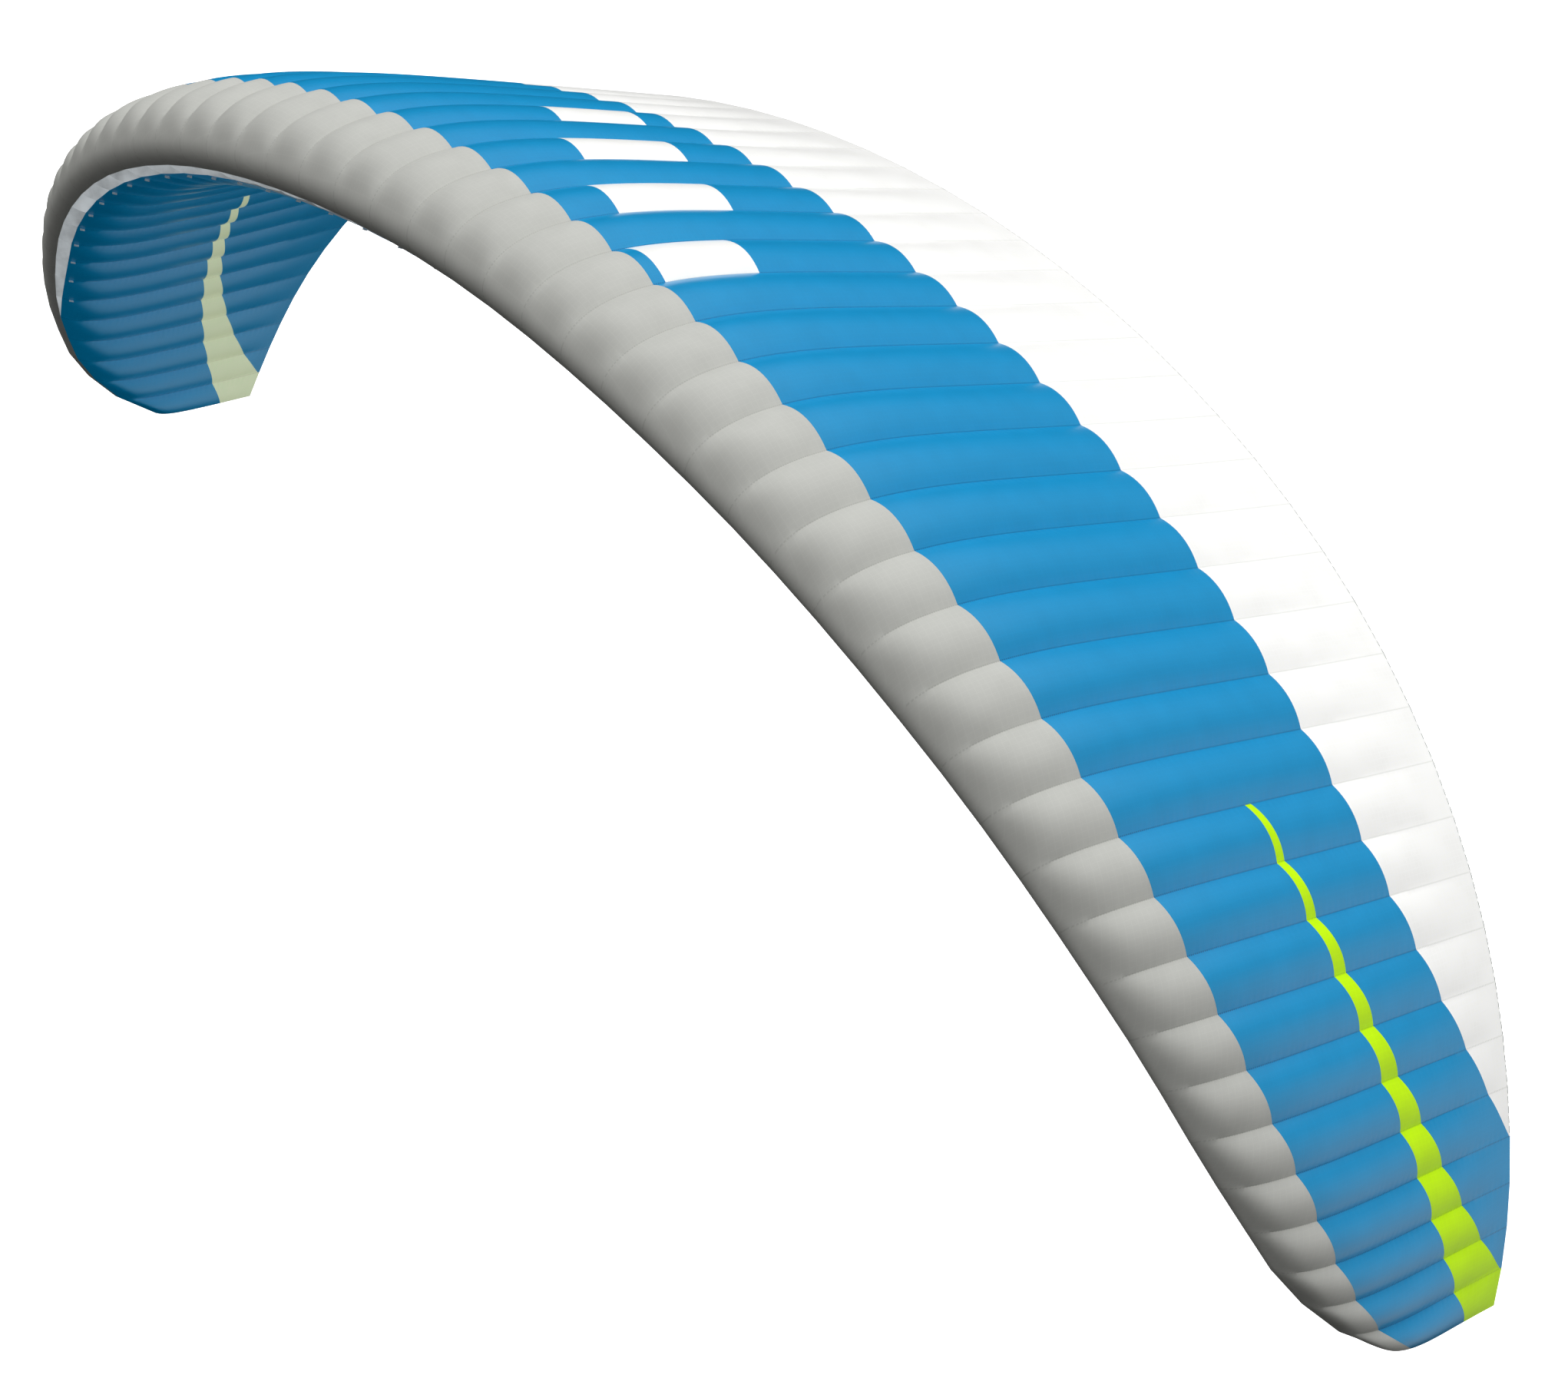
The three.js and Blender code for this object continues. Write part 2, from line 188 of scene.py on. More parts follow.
camera_data = bpy.data.cameras.new("camera")
camera_data.lens = LENS_MM
camera_data.sensor_width = SENSOR_MM
camera_data.sensor_fit = "HORIZONTAL"
camera_data.clip_end = FARTHEST_VIEW
camera = bpy.data.objects.new("camera", camera_data)
camera.location = CAMERA_PLACE
camera.rotation_euler = [math.radians(a) for a in CAMERA_DEGREES]
bpy.context.collection.objects.link(camera)
bpy.context.scene.camera = camera
print("camera:", [round(x, 2) for x in camera.location])

# %% [markdown]
# Three helpers serve every material. Colours are written as on a screen, so one function turns them
# into the linear values that shaders use. Another starts a material, and the last adds a node together
# with its settings and links, so a pattern reads as one line for each of its nodes.


# %% Helpers for colours, materials and nodes
def srgb(hex_colour):
    """A screen colour such as 2E91C5, as the linear colour that shaders use."""
    parts = [int(hex_colour[i : i + 2], 16) / 255 for i in (0, 2, 4)]
    return (*[p / 12.92 if p <= 0.04045 else ((p + 0.055) / 1.055) ** 2.4 for p in parts], 1)


def start_material(name, values):
    """A new material with these values on its shader. Gives its node tree and its shader too."""
    material = bpy.data.materials.new(name)
    material.use_nodes = True
    shader = material.node_tree.nodes["Principled BSDF"]
    for socket, value in values.items():
        shader.inputs[socket].default_value = value
    return material, material.node_tree, shader


def add_node(tree, kind, inputs=(), **settings):
    """Adds a node. Its inputs, in order or by name, are values, sockets, or nodes for their first output."""
    node = tree.nodes.new(kind)
    for name, value in settings.items():
        setattr(node, name, value)
    for name, value in inputs.items() if isinstance(inputs, dict) else enumerate(inputs):
        if isinstance(value, bpy.types.Node):
            value = value.outputs[0]
        if isinstance(value, bpy.types.NodeSocket):
            tree.links.new(value, node.inputs[name])
        else:
            node.inputs[name].default_value = value
    return node


print("white:", srgb("FFFFFF"))

# %% [markdown]
# The floor of a studio is painted matt white. It lies far below, so the wing seems to fly, and it
# glows a little, so it looks evenly pale without a lamp of its own. It is hidden from bounced and
# mirrored light, which keeps its white off the underside of the cloth.

# %% Floor
FLOOR_DROP = 9.0  # from the wing's lowest point to the floor
FLOOR_SIZE = 600
FLOOR_GLOW = 0.6

bpy.ops.mesh.primitive_plane_add(size=FLOOR_SIZE, location=(0, 0, cad_box[0][2] - FLOOR_DROP))
floor = bpy.context.object
floor.name = "floor"
floor_values = {
    "Base Color": srgb("FFFFFF"),
    "Roughness": 0.9,
    "Emission Color": srgb("FFFFFF"),
    "Emission Strength": FLOOR_GLOW,
}
paint, _, _ = start_material("matt white floor paint", floor_values)
floor.data.materials.append(paint)
floor.visible_diffuse = False
floor.visible_glossy = False
print("floor at", round(floor.location.z, 2), "m")

# %% [markdown]
# Two things light cloth: the broad light that falls on it, and what its sheen mirrors. They are set
# apart here. Three very wide lamps give the broad light, most of it from above and some from behind and
# below, so the nose turns dark underneath. The sheen mirrors the world: bright overhead, and brightest
# low beyond the left tip, where a wide pale window would stand in a studio.

# %% Broad light
# Where it comes from, how wide it is in degrees, and its share of full light on a facing surface.
LAMPS = {
    "open sky": ((0, 0, 1), 180, 0.54),
    "soft sun": ((0, 0, 1), 90, 0.58),
    "bounce from behind": ((0, 0.95, -0.31), 90, 0.58),
}
LAMP_DISTANCE = 12  # a sun lamp shines alike from anywhere, so this only keeps it out of the wing

for name, (source, width, share) in LAMPS.items():
    lamp_data = bpy.data.lights.new(name, "SUN")
    lamp_data.energy = math.pi * share
    lamp_data.angle = math.radians(width)
    lamp = bpy.data.objects.new(name, lamp_data)
    lamp.rotation_euler = Vector(source).to_track_quat("Z", "Y").to_euler()
    lamp.location = Vector(source) * LAMP_DISTANCE
    lamp.visible_glossy = False
    bpy.context.collection.objects.link(lamp)
print("lamps:", len(LAMPS))

# %% What the sheen mirrors
WINDOW = (0.84, 0.43, -0.33)  # direction of the middle of the pale window
WINDOW_EDGES = (0.5, 0.9)  # cosines from its middle, where its light begins and where it is full
WINDOW_LIGHT = 1.15
OVERHEAD_EDGES = (0.45, 1.0)  # heights at which the light overhead begins and is full
OVERHEAD_LIGHT = 1.05

world = bpy.data.worlds.new("sky")
bpy.context.scene.world = world
world.use_nodes = True
world.cycles_visibility.diffuse = False
tree = world.node_tree
direction = add_node(tree, "ShaderNodeTexCoord").outputs["Generated"]
towards_window = add_node(tree, "ShaderNodeVectorMath", [direction, WINDOW], operation="DOT_PRODUCT")
lights = []
for value, (begins, full), light in (
    (towards_window.outputs["Value"], WINDOW_EDGES, WINDOW_LIGHT),
    (add_node(tree, "ShaderNodeSeparateXYZ", [direction]).outputs["Z"], OVERHEAD_EDGES, OVERHEAD_LIGHT),
):
    edges = {"Value": value, "From Min": begins, "From Max": full, "To Max": light}
    lights.append(add_node(tree, "ShaderNodeMapRange", edges))
brighter = add_node(tree, "ShaderNodeMath", lights, operation="MAXIMUM")
tree.links.new(brighter.outputs[0], tree.nodes["Background"].inputs["Color"])
bpy.context.scene.view_settings.view_transform = "Standard"
bpy.ops.object.select_all(action="DESELECT")
print("world nodes:", len(tree.nodes))

# %% [markdown]
# ## The cloth
# Paraglider cloth is ripstop nylon: a very fine plain weave with a thicker thread every 5 mm or so, and
# a coating that gives it a soft sheen. From a few steps away the eye sees the colour, the sheen, the
# seams and faint puckers beside them. Its UV map runs in metres, so that each pattern keeps its size.
# A picture of cloth could be laid on instead, but nodes stay sharp at any distance.

# %% Sizes of the pattern, in metres
RIPSTOP_SQUARE = 0.030  # 5 mm on the real cloth, drawn coarser so that it shows at all
THREAD_REACH = 0.06 * RIPSTOP_SQUARE  # half the width of a thick thread
PUCKER_LENGTH = 0.045  # from one pucker beside a seam to the next
PUCKER_REACH = 0.09  # how far the puckers run into the panel
DRIFT_SCALE, DRIFT = 3.0, 9.0  # noise waves for each metre, and how far they shift a pucker, in radians
SLACK_SCALE = 6.0  # noise waves for each metre of slack cloth
SEAM_HALF_WIDTH = 0.004
SEAM_STITCH = (0.012, 0.0072)  # pitch and length of a stitch: 4 mm on the real seam, drawn coarser
EDGE_HALF_WIDTH = 0.006  # of the binding that shows along the trailing edge
EDGE_STITCH = (0.048, 0.0336)

THREAD_HEIGHT, PUCKER_HEIGHT = 0.12, 0.5  # beside a height of 1 for the panel's own slackness
RELIEF, RELIEF_STRENGTH = 0.01, 0.08  # how high the whole relief stands, and how much of it shows
THREAD_TONE = 0.03  # how much lighter a thick thread is
NOISE_MIDDLE = (0.3, 0.7)  # nearly all values of a noise lie between these
print("threads of the weave for each metre:", round(1 / RIPSTOP_SQUARE))


# %% Threads, puckers and stitches
def thick_threads(tree, distances):
    """1 on the thick threads of the weave, which run both ways, and 0 between them."""
    lines = []
    for distance in distances:
        from_thread = add_node(tree, "ShaderNodeMath", [distance, RIPSTOP_SQUARE / 2], operation="PINGPONG")
        lines.append(add_node(tree, "ShaderNodeMath", [from_thread, THREAD_REACH], operation="LESS_THAN"))
    return add_node(tree, "ShaderNodeMath", lines, operation="MAXIMUM")


def seam_puckers(tree, cloth, along, to_seam):
    """Short uneven ridges that run away from a seam and die out."""
    reach = add_node(tree, "ShaderNodeMath", [to_seam, PUCKER_REACH], operation="DIVIDE")
    far = add_node(tree, "ShaderNodeMath", [reach, 1.0], operation="MINIMUM")
    near = add_node(tree, "ShaderNodeMath", [1.0, far], operation="SUBTRACT")
    fade = add_node(tree, "ShaderNodeMath", [near, 2.0], operation="POWER")
    noise = {"Vector": cloth, "Scale": DRIFT_SCALE, "Detail": 2.0}
    drift = add_node(tree, "ShaderNodeTexNoise", noise, noise_dimensions="2D")
    turn = add_node(tree, "ShaderNodeMath", [along, math.tau / PUCKER_LENGTH], operation="MULTIPLY")
    uneven_turn = add_node(tree, "ShaderNodeMath", [drift, DRIFT, turn], operation="MULTIPLY_ADD")
    ridge = add_node(tree, "ShaderNodeMath", [uneven_turn], operation="SINE")
    return add_node(tree, "ShaderNodeMath", [ridge, fade], operation="MULTIPLY")


def stitched_line(tree, to_line, half_width, along, stitch):
    """1 on the stitches of a line and 0 elsewhere."""
    pitch, length = stitch
    in_line = add_node(tree, "ShaderNodeMath", [to_line, half_width], operation="LESS_THAN")
    from_stitch = add_node(tree, "ShaderNodeMath", [along, pitch / 2], operation="PINGPONG")
    on_stitch = add_node(tree, "ShaderNodeMath", [from_stitch, length / 2], operation="LESS_THAN")
    return add_node(tree, "ShaderNodeMath", [in_line, on_stitch], operation="MULTIPLY")


# %% Ripstop nylon
NYLON_IOR = 1.5  # of the fibre, and nearly the same for its coat


def ripstop_nylon(
    name, colour, thread, specular=0.4, roughness=0.3, uneven=0.03, glow="000000", binding=None
):
    """Cloth with its weave and seams: the colours are those of the cloth and of its sewing thread.

    uneven is how much the tone varies, glow is light that comes through from the other side, and
    binding is the colour of a bound trailing edge."""
    values = {
        "Roughness": roughness,
        "Specular IOR Level": specular,
        "IOR": NYLON_IOR,
        "Emission Color": srgb(glow),
        "Emission Strength": 1.0,
    }
    material, tree, shader = start_material(name, values)
    cloth = add_node(tree, "ShaderNodeUVMap", uv_map="Cloth")
    seams = add_node(tree, "ShaderNodeUVMap", uv_map="Seams")
    across, along = add_node(tree, "ShaderNodeSeparateXYZ", [cloth]).outputs[:2]
    to_seam, to_edge = add_node(tree, "ShaderNodeSeparateXYZ", [seams]).outputs[:2]

    # Relief: the faint slackness of a panel, its thick threads, and the puckers beside its seams.
    threads = thick_threads(tree, (across, along))
    puckers = seam_puckers(tree, cloth, along, to_seam)
    slack = add_node(tree, "ShaderNodeTexNoise", {"Vector": cloth, "Scale": SLACK_SCALE, "Detail": 3.0})
    woven = add_node(tree, "ShaderNodeMath", [threads, THREAD_HEIGHT, slack], operation="MULTIPLY_ADD")
    height = add_node(tree, "ShaderNodeMath", [puckers, PUCKER_HEIGHT, woven], operation="MULTIPLY_ADD")
    relief = {"Height": height, "Strength": RELIEF_STRENGTH, "Distance": RELIEF}
    bump = add_node(tree, "ShaderNodeBump", relief)
    tree.links.new(bump.outputs[0], shader.inputs["Normal"])

    # Colour: the dye varies a little, on the ribs widely as painted uneven light, and thick threads catch
    # light.
    low, high = NOISE_MIDDLE
    spread = {"Value": slack, "From Min": low, "From Max": high, "To Min": 1 - uneven, "To Max": 1 + uneven}
    cloudy = add_node(tree, "ShaderNodeMapRange", spread)
    tone = add_node(tree, "ShaderNodeMath", [threads, THREAD_TONE, cloudy], operation="MULTIPLY_ADD")
    dye = {"Vector": srgb(colour)[:3], "Scale": tone}
    surface = add_node(tree, "ShaderNodeVectorMath", dye, operation="SCALE").outputs["Vector"]

    # Sewing: stitches along the seams, and along a bound trailing edge.
    sewn = [(thread, stitched_line(tree, to_seam, SEAM_HALF_WIDTH, along, SEAM_STITCH))]
    if binding:
        sewn.append((binding, stitched_line(tree, to_edge, EDGE_HALF_WIDTH, across, EDGE_STITCH)))
    for sewn_colour, line in sewn:
        mix = {"Factor": line, "A": surface, "B": srgb(sewn_colour)}
        surface = add_node(tree, "ShaderNodeMix", mix, data_type="RGBA").outputs["Result"]
    tree.links.new(surface, shader.inputs["Base Color"])
    print(f"{name}: {len(tree.nodes)} nodes")
    return material


# %% [markdown]
# The outside of the wing is coated cloth, dyed before it is coated. The coat makes it airtight and
# gives a soft sheen, which turns the blue paler where it faces the sky. The nose cloth and the stripes
# shine less. Cloth this thin also lets daylight through. It could be shaded as a see-through sheet, but
# that is noisy and slow over two skins and 52 walls, so a faint glow of its own colour stands for it.

# %% Cloth of the top
# A dull coat: a soft grey with no highlight.
grey_nylon = ripstop_nylon("pale grey coated ripstop nylon", "C1C2BD", "B6B7B2", specular=0.1, roughness=0.6)
# A smooth coat: a deep even blue that turns milky towards the light.
blue_nylon = ripstop_nylon("blue coated ripstop nylon", "0A90C8", "0A6EA2")
# Undyed cloth, lit from both sides: nearly as bright as paper, with a grey dotted line at its bound edge.
white_nylon = ripstop_nylon(
    "white coated ripstop nylon", "FCFCFA", "E4E5E2", glow="2C2C2B", binding="8A8C8A"
)
# A strong yellow-green dye: the brightest colour of the wing, with hardly any highlight.
lime_nylon = ripstop_nylon("lime green coated ripstop nylon", "C8FA00", "B0E010", specular=0.1)

# %% [markdown]
# The underside lies in the wing's own shade, and much of its light has come through the top. A lamp from
# below would brighten it too, but it would also take away the dark lower side of the nose, so the cloths
# of the underside have a stronger glow instead.

# %% Cloth of the underside
# The top's blue cloth as a shaded copy: a deeper sea blue, with a sheen where it faces the low window.
# Its glow is painted light: it stands for light from below and light through the top.
shaded_blue_nylon = ripstop_nylon(
    "blue coated ripstop nylon, underside", "0094C8", "0A6EA2", specular=0.5, glow="003550"
)
# A paler green than on top, which shows as a soft grey green in the shade.
# Its strong glow is painted light that shines through from the lime stripe on top.
pale_green_nylon = ripstop_nylon(
    "pale green coated ripstop nylon", "D6DEC4", "C2B4AC", specular=0.2, glow="869070"
)

# %% [markdown]
# Through the open intakes the eye sees the ribs, which are uncoated, and the inner side of the skins,
# which are coated on the outside only. Both catch light that comes through the skins, more in some
# places than in others. A flat glow would look like paint, so a rib glows with its own uneven tone.

# %% Cloth of the inside
RIB_GLOW = 0.32  # share of a rib's own colour that daylight through the skins gives it

# Bare white weave: dull, with a patchy tone that is painted uneven light from daylight through the skins.
rib_nylon = ripstop_nylon(
    "white uncoated ripstop nylon", "D0D4D6", "C0C4C6", specular=0.2, roughness=0.8, uneven=0.3
)
rib_shader = rib_nylon.node_tree.nodes["Principled BSDF"]
rib_colour = rib_shader.inputs["Base Color"].links[0].from_socket
rib_nylon.node_tree.links.new(rib_colour, rib_shader.inputs["Emission Color"])
rib_shader.inputs["Emission Strength"].default_value = RIB_GLOW

# The bare back of the coated cloth: matt, and greyish as painted shade, so the intakes look deep.
# Its faint glow is painted light that comes through the skins.
lining_nylon = ripstop_nylon(
    "inner side of ripstop nylon in painted shade", "9A9EA0", "8A8E90", specular=0.2, roughness=0.8, glow="303336"
)
print("materials:", len(bpy.data.materials))

# %% [markdown]
# ## The two skins
# A skin is one net of points that runs from tip to tip. Between two ribs it swells outwards in a soft
# curve, which starts close behind the nose and dies out at the trailing edge. The air could be
# simulated, but a parabola across each cell gives the same curve and never varies. The differently
# coloured cloths are patches of the same net, so they meet exactly, as sewn panels do.

# %% Where the colours meet
# Places along the chord, for each rib from the tip inwards; the last row holds as far as the middle.
TIP_RIBS = (
    # lower lip of the intake, end of the grey, front and back of the stripe, start of the white
    (0.020, 0.139, 0.668, 0.992, 0.996),
    (0.020, 0.139, 0.649, 0.986, 0.996),
    (0.020, 0.150, 0.626, 0.844, 0.996),
    (0.020, 0.156, 0.599, 0.755, 0.996),
    (0.020, 0.157, 0.573, 0.686, 0.996),
    (0.020, 0.157, 0.549, 0.635, 0.917),
    (0.035, 0.154, 0.529, 0.592, 0.855),
    (0.045, 0.150, 0.510, 0.558, 0.803),
    (0.050, 0.147, 0.492, 0.530, 0.765),
    (0.050, 0.147, 0.479, 0.508, 0.738),
    (0.050, 0.147, 0.469, 0.491, 0.719),
    (0.050, 0.147, 0.461, 0.477, 0.706),
)
WHITE_AT_MIDDLE = 0.668
UPPER_LIP = 0.02  # of the intakes, on the underside
BEHIND_INTAKES = 0.15  # where the finer rows of the underside end
STRIPE_CELLS = len(TIP_RIBS) - 1
WHITE_STARTS = 4  # rib at which the white cloth comes in at the trailing edge


def rib_marks(rib):
    """The places where the colours meet on one rib."""
    inwards = min(rib, CELLS - rib)
    if inwards < len(TIP_RIBS):
        return TIP_RIBS[inwards]
    lip, grey, front, back, white = TIP_RIBS[-1]
    share = (inwards - STRIPE_CELLS) / ((CELLS - 1) / 2 - STRIPE_CELLS)
    return lip, grey, front, back, white + (WHITE_AT_MIDDLE - white) * min(1, share) ** 0.5


print("white begins at the middle:", round(rib_marks(CELLS // 2)[-1], 3))

# %% Rows of the two nets
TOP_STEPS = {"nose": 24, "front": 14, "stripe": 2, "middle": 10, "rear": 16}
UNDERSIDE_STEPS = {"rear": 14, "middle": 6, "stripe": 2, "front": 12, "intake": 6}


def rows_between(marks, steps):
    """Roots of the places of all rows of a net, from one mark to the next in so many steps."""
    rows = [root_of(marks[0])]
    for start, end, count in zip(marks, marks[1:], steps):
        for i in range(1, count + 1):
            if start < 0 < end:  # round the nose, even steps of the root keep the facets alike
                first, last = root_of(start), root_of(end)
                rows.append(first + (last - first) * i / count)
            else:
                rows.append(root_of(start + (end - start) * i / count))
    return rows


def top_rows(rib):
    _, grey, front, back, white = rib_marks(rib)
    return rows_between([-UPPER_LIP, grey, front, back, white, 1], TOP_STEPS.values())


def underside_rows(rib):
    lip, _, front, back, _ = rib_marks(rib)
    marks = [-1, -(back + 1) / 2, -back, -front, -BEHIND_INTAKES, -lip]
    return rows_between(marks, UNDERSIDE_STEPS.values())


print("rows on top:", len(top_rows(0)), "below:", len(underside_rows(0)))

# %% The net of a skin
CELL_STEPS = 12  # facets across a cell
# Sag of a cell's cloth as a share of its width, and the shares of the chord where it begins and is full.
BILLOW = {"top": (0.15, 0.002, 0.06), "underside": (0.12, 0.04, 0.16)}
BILLOW_FADE = 3.5  # power with which it dies out towards the trailing edge


def billow(t):
    """Sag of the cloth at places t along the chord, as a share of the cell's width."""
    share = 0
    for side, here in (("top", t >= 0), ("underside", t < 0)):
        sag, begins, full = BILLOW[side]
        begins, full = begins**0.5, full**0.5
        rise = np.clip((np.sqrt(np.abs(t)) - begins) / (full - begins), 0, 1)
        share = share + here * sag * rise**2 * (3 - 2 * rise)
    return share * (1 - np.abs(t) ** BILLOW_FADE)


class Skin:
    """Points of a skin, with a column for each facet edge across the cells and a row along the chord."""

    def __init__(self, rows, steps):
        self.zones = [zone for zone, count in steps.items() for _ in range(count)]
        q = np.array([rows(rib) for rib in range(CELLS + 1)])
        points, place = ribs.outline(q), q * np.abs(q)
        self.width = np.linalg.norm(points[1:] - points[:-1], axis=-1)
        column = np.arange(CELLS * CELL_STEPS + 1)
        self.cell = np.minimum(column // CELL_STEPS, CELLS - 1)
        self.u = column / CELL_STEPS - self.cell
        normal = self.across_cells(ribs.normal(q))
        normal = normal / np.linalg.norm(normal, axis=-1, keepdims=True)
        u = self.u[:, None]
        swell = 4 * u * (1 - u) * self.width[self.cell] * billow(self.across_cells(place))
        self.points = self.across_cells(points) + swell[..., None] * normal
        self.to_edge = self.across_cells(ribs.chord[:, None] * (1 - np.abs(place)))

    def across_cells(self, values):
        """Values at the ribs, carried straight across each cell to its facet edges."""
        u = self.u[:, None] if values.ndim == 2 else self.u[:, None, None]
        return values[self.cell] + (values[self.cell + 1] - values[self.cell]) * u


top = Skin(top_rows, TOP_STEPS)
underside = Skin(underside_rows, UNDERSIDE_STEPS)
print("net of the top:", top.points.shape[:2], "of the underside:", underside.points.shape[:2])

# %% [markdown]
# A piece of cloth is cut from the net, drawn in by a hair where it meets its neighbour, and given its
# thickness inwards by a Solidify modifier, which also puts the inner side, grey with painted shade and a
# faint painted glow, on its inside. Faces that meet at more than 30 degrees keep a crease: this is the sharp
# valley over each rib, which fades away round the nose.

# %% Making a sheet
SEAM_GAP = 0.00015  # by which each piece is drawn in at its edges
CREASE = math.radians(30)


def new_sheet(name, points, faces, uv_maps):
    """A piece with no thickness yet. Each UV map holds a pair of numbers for every corner of a face."""
    mesh = bpy.data.meshes.new(name)
    mesh.from_pydata(points, [], faces)
    for layer, pairs in uv_maps.items():
        mesh.uv_layers.new(name=layer).data.foreach_set("uv", np.array(pairs, np.float32).ravel())
    piece = bpy.data.objects.new(name, mesh)
    bpy.context.collection.objects.link(piece)
    return piece


def area_of(piece):
    return sum(polygon.area for polygon in piece.data.polygons)


def draw_in_edges(mesh):
    """Moves the points of every edge of a sheet a little way into its own cloth."""
    shell = bmesh.new()
    shell.from_mesh(mesh)
    moves = {}
    for vertex in shell.verts:
        if vertex.is_boundary:
            centres = [face.calc_center_median() for face in vertex.link_faces]
            inside = sum(centres, Vector()) / len(centres)
            moves[vertex] = (inside - vertex.co).normalized() * SEAM_GAP
    for vertex, move in moves.items():
        vertex.co += move
    shell.to_mesh(mesh)
    shell.free()


def finish_cloth(piece, area, nodes, slot, thickness=CLOTH, offset=-1, inner_side=0):
    """Gives the sheet its thickness and creases, hangs it on the root body, and hides the solids that it
    stands for.

    inner_side says how many material slots further on the material of the sheet's inner side is."""
    bpy.ops.object.select_all(action="DESELECT")
    bpy.context.view_layer.objects.active = piece
    piece.select_set(True)
    thick = piece.modifiers.new("thickness", "SOLIDIFY")
    thick.thickness = thickness
    thick.offset = offset
    thick.material_offset = inner_side
    bpy.ops.object.modifier_apply(modifier=thick.name)
    bpy.ops.object.shade_smooth_by_angle(angle=CREASE)
    piece["cloth_area"] = area
    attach(piece, "root")
    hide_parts(*nodes)
    print(f"{piece.name}: {len(piece.data.polygons)} faces, {area:.2f} m2 of cloth")
    return piece


# %% Cutting a piece of cloth from a skin
def from_tip(cell):
    return min(cell, CELLS - 1 - cell)


def cut_cloth(name, skin, belongs, materials, nodes, slot, pick=None):
    """Builds the patches for which belongs(cell, zone) is true. pick(cell, row) chooses a material."""
    numbers, points, faces, cloth, seams, picks = {}, [], [], [], [], []

    def corner(column, row):
        if (column, row) not in numbers:
            numbers[column, row] = len(points)
            points.append(skin.points[column, row])
        return numbers[column, row]

    for cell in range(CELLS):
        for row, zone in enumerate(skin.zones):
            if not belongs(cell, zone):
                continue
            for step in range(CELL_STEPS):
                column = cell * CELL_STEPS + step
                ring = [(column, row), (column, row + 1), (column + 1, row + 1), (column + 1, row)]
                faces.append([corner(*at) for at in ring])
                picks.append(pick(cell, row) if pick else 0)
                for at_column, at_row in ring:
                    u = at_column / CELL_STEPS - cell
                    width, edge = skin.width[cell, at_row], skin.to_edge[at_column, at_row]
                    cloth.append((cell + u * width, edge))
                    seams.append((min(u, 1 - u) * width, edge))
    piece = new_sheet(name, points, faces, {"Cloth": cloth, "Seams": seams})
    piece.data.polygons.foreach_set("material_index", picks)
    for material in (*materials, *[lining_nylon] * len(materials)):
        piece.data.materials.append(material)
    area = area_of(piece)
    draw_in_edges(piece.data)
    return finish_cloth(piece, area, nodes, slot, inner_side=len(materials))


# %% [markdown]
# ### The nose cloth
# One long piece of grey cloth is wrapped round the nose, from the upper lip of the intakes to 15 % of
# the chord. The real one is sewn from a panel for each cell. One piece of the net shows the same seams,
# since its pattern draws them over every rib, and it keeps the nose smooth.

# %% Nose cloth
RIB_NODES = [f"rib_{rib:02d}" for rib in range(CELLS + 1)]


def in_nose(cell, zone):
    return zone == "nose"


nose_cloth = cut_cloth("nose_cloth", top, in_nose, [grey_nylon], ["top_nose"], "nose_cloth")

# %% [markdown]
# ### The main cloth and the rear cloth
# The main cloth is blue and carries a plain design near the middle of the wing: four white bars, on every
# other cell, each set further back than the one before. Each is a white panel sewn in from seam to seam.
# The rear cloth is white as far as the trailing edge, where it is bound.

# %% Main and rear cloth of the top
# For each cell with a bar, the rows of the net between which it is white, counted from the grey edge.
BARS = {22: (1, 9), 24: (4, 14), 26: (8, 19), 28: (13, 23)}


def in_bar(cell, row):
    start, end = BARS.get(cell, (0, 0))
    return int(start <= row - TOP_STEPS["nose"] < end)


def in_stripe(cell, zone):
    """A stripe has its own zone, and behind it the outermost cell is all stripe."""
    if zone == "stripe":
        return from_tip(cell) < STRIPE_CELLS
    return zone in ("middle", "rear") and from_tip(cell) < 1


def in_rear(cell, zone):
    return zone == "rear" and from_tip(cell) >= WHITE_STARTS


def in_main(cell, zone):
    return not (in_nose(cell, zone) or in_stripe(cell, zone) or in_rear(cell, zone))


both_colours = [blue_nylon, white_nylon]
main_cloth = cut_cloth("main_cloth", top, in_main, both_colours, ["top_main"], "main_cloth", in_bar)
rear_cloth = cut_cloth("rear_cloth", top, in_rear, [white_nylon], ["top_rear"], "rear_cloth")

# %% [markdown]
# ### The underside and the stripes
# The underside is one blue cloth from behind the intakes to the trailing edge. A stripe runs through
# both skins near each tip. It is broad at the tip and narrows to a point, and as a zone of the net it
# can narrow without a single odd facet.

# %% Underside and the stripes
def in_underside(cell, zone):
    return not in_stripe(cell, zone)


def stripe_half(cells):
    """A rule that says which patches belong to the stripe on this half of the wing."""

    def belongs(cell, zone):
        return cell in cells and in_stripe(cell, zone)

    return belongs


underside_cloth = cut_cloth(
    "underside_cloth", underside, in_underside, [shaded_blue_nylon], ["underside_main"], "underside_cloth"
)
stripes = []
for side, cells in (("left", range(0, CELLS // 2)), ("right", range(CELLS // 2, CELLS))):
    for skin, word, material, slot in (
        (top, "top", lime_nylon, "stripe_cloth"),
        (underside, "underside", pale_green_nylon, "underside_stripe_cloth"),
    ):
        name, node = f"{word}_stripe_cloth_{side}", f"{word}_stripe_{side}"
        stripes.append(cut_cloth(name, skin, stripe_half(cells), [material], [node], slot))

# %% [markdown]
# ## The ribs
# A rib is a flat wall of cloth in the outline of the wing's profile. It ties the skins together and has
# large oval ports, through which air passes from cell to cell. Ports could be cut with a Boolean, but
# that leaves ragged faces. A rib is built as a row of bays instead: each bay is a ring of faces between
# the edge of the bay and the rim of its port.

